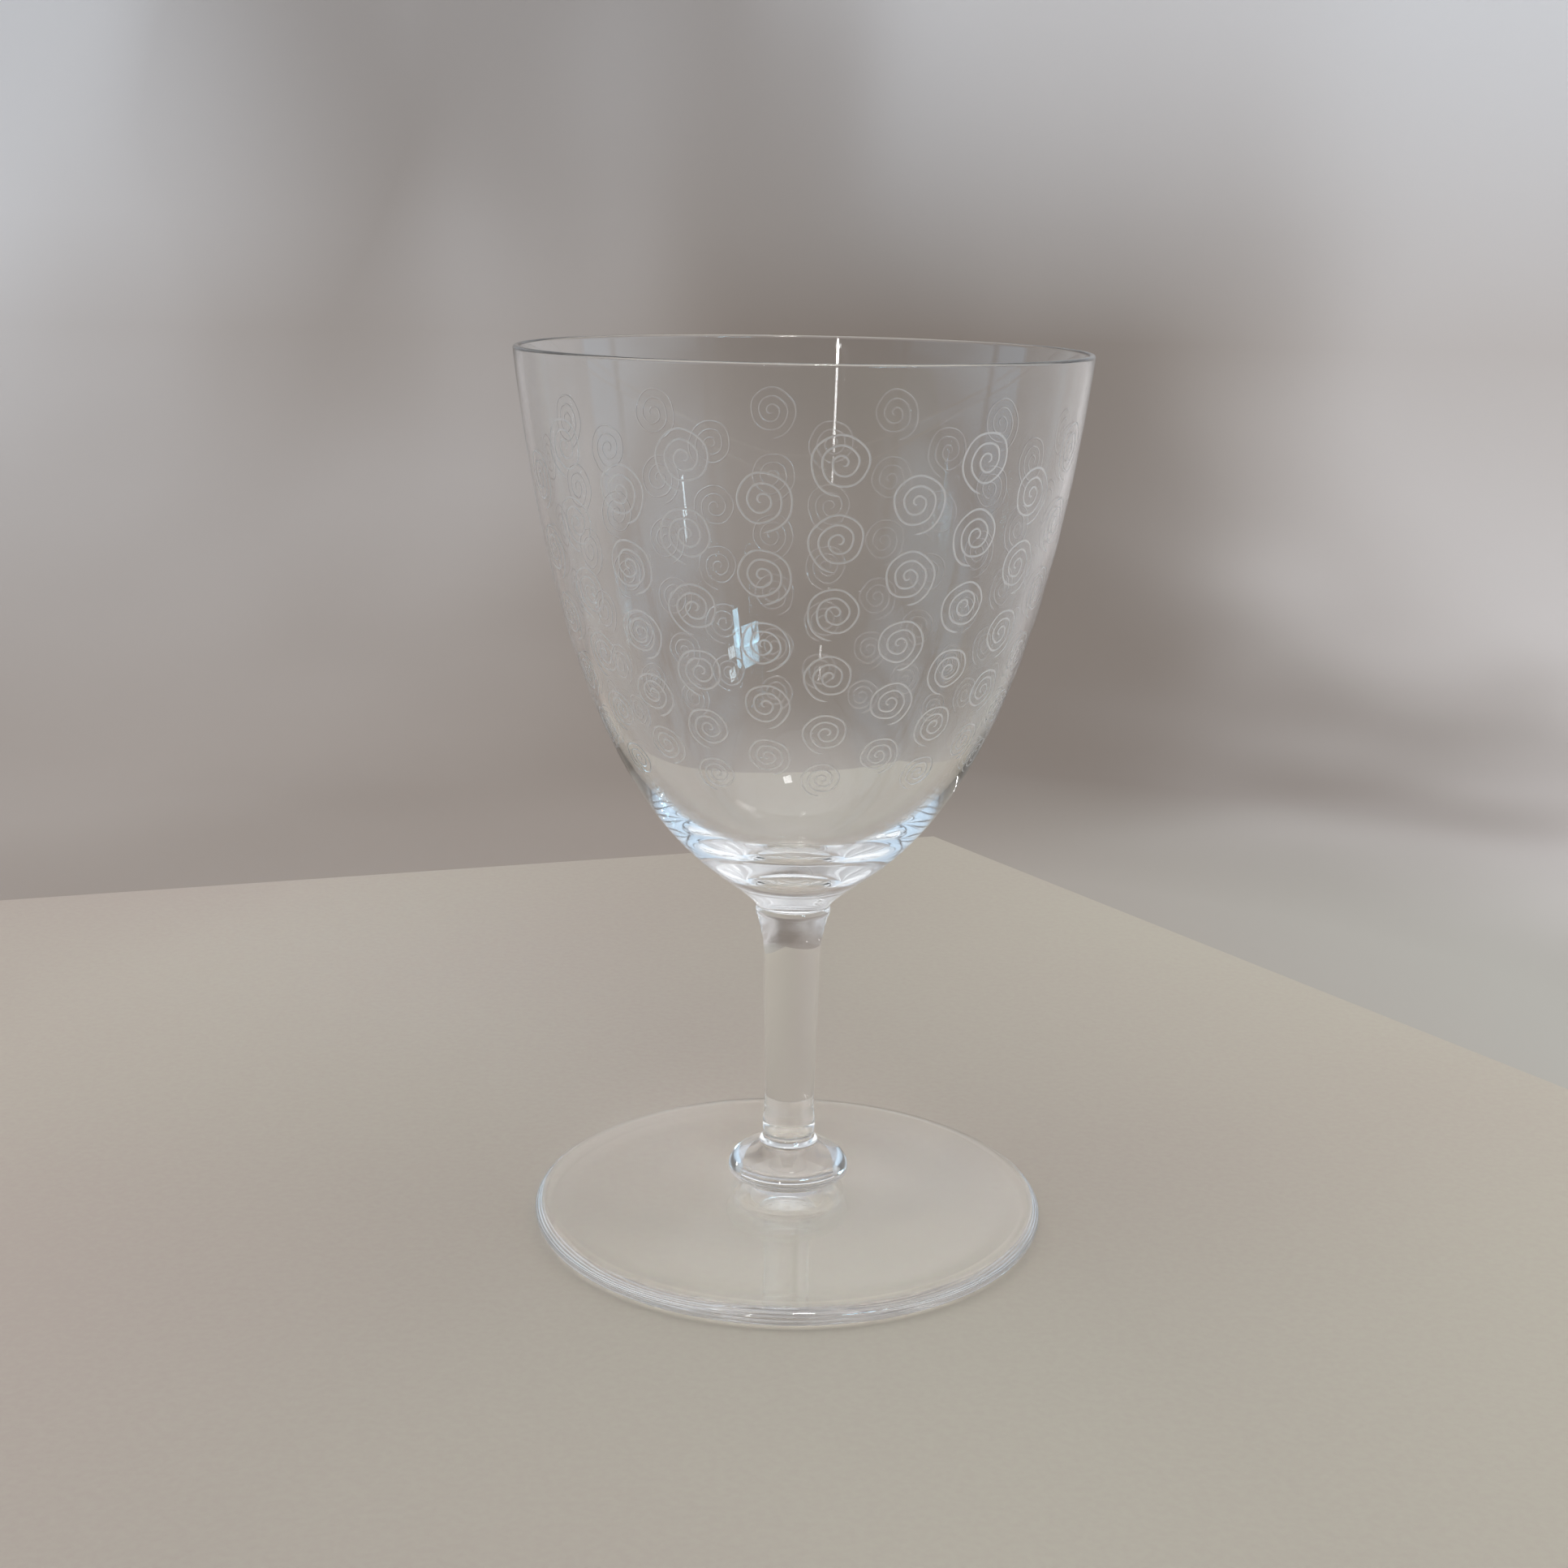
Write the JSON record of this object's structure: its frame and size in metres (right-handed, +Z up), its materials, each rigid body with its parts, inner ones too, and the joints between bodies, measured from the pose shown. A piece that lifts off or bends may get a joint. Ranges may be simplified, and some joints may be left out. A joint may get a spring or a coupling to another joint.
{
  "type": "wine glass",
  "caption": "Stemmed wine glass: deep ogee bowl with a band of fine etched spirals, slender round stem, merese and disc foot, for holding and drinking wine.",
  "frame": {"origin": "centre of the foot's resting face, on the axis of the glass", "axes": "+Z up along the axis of the glass; the glass is round, so +X and +Y are any two level directions at right angles"},
  "size_m": [0.0806, 0.0806, 0.13],
  "materials": {
    "clear_glass": "clear fire-polished glass"
  },
  "bodies": {
    "root": {"bowl": "clear_glass", "stem": "clear_glass", "merese": "clear_glass", "foot": "clear_glass"}
  },
  "joints": []
}
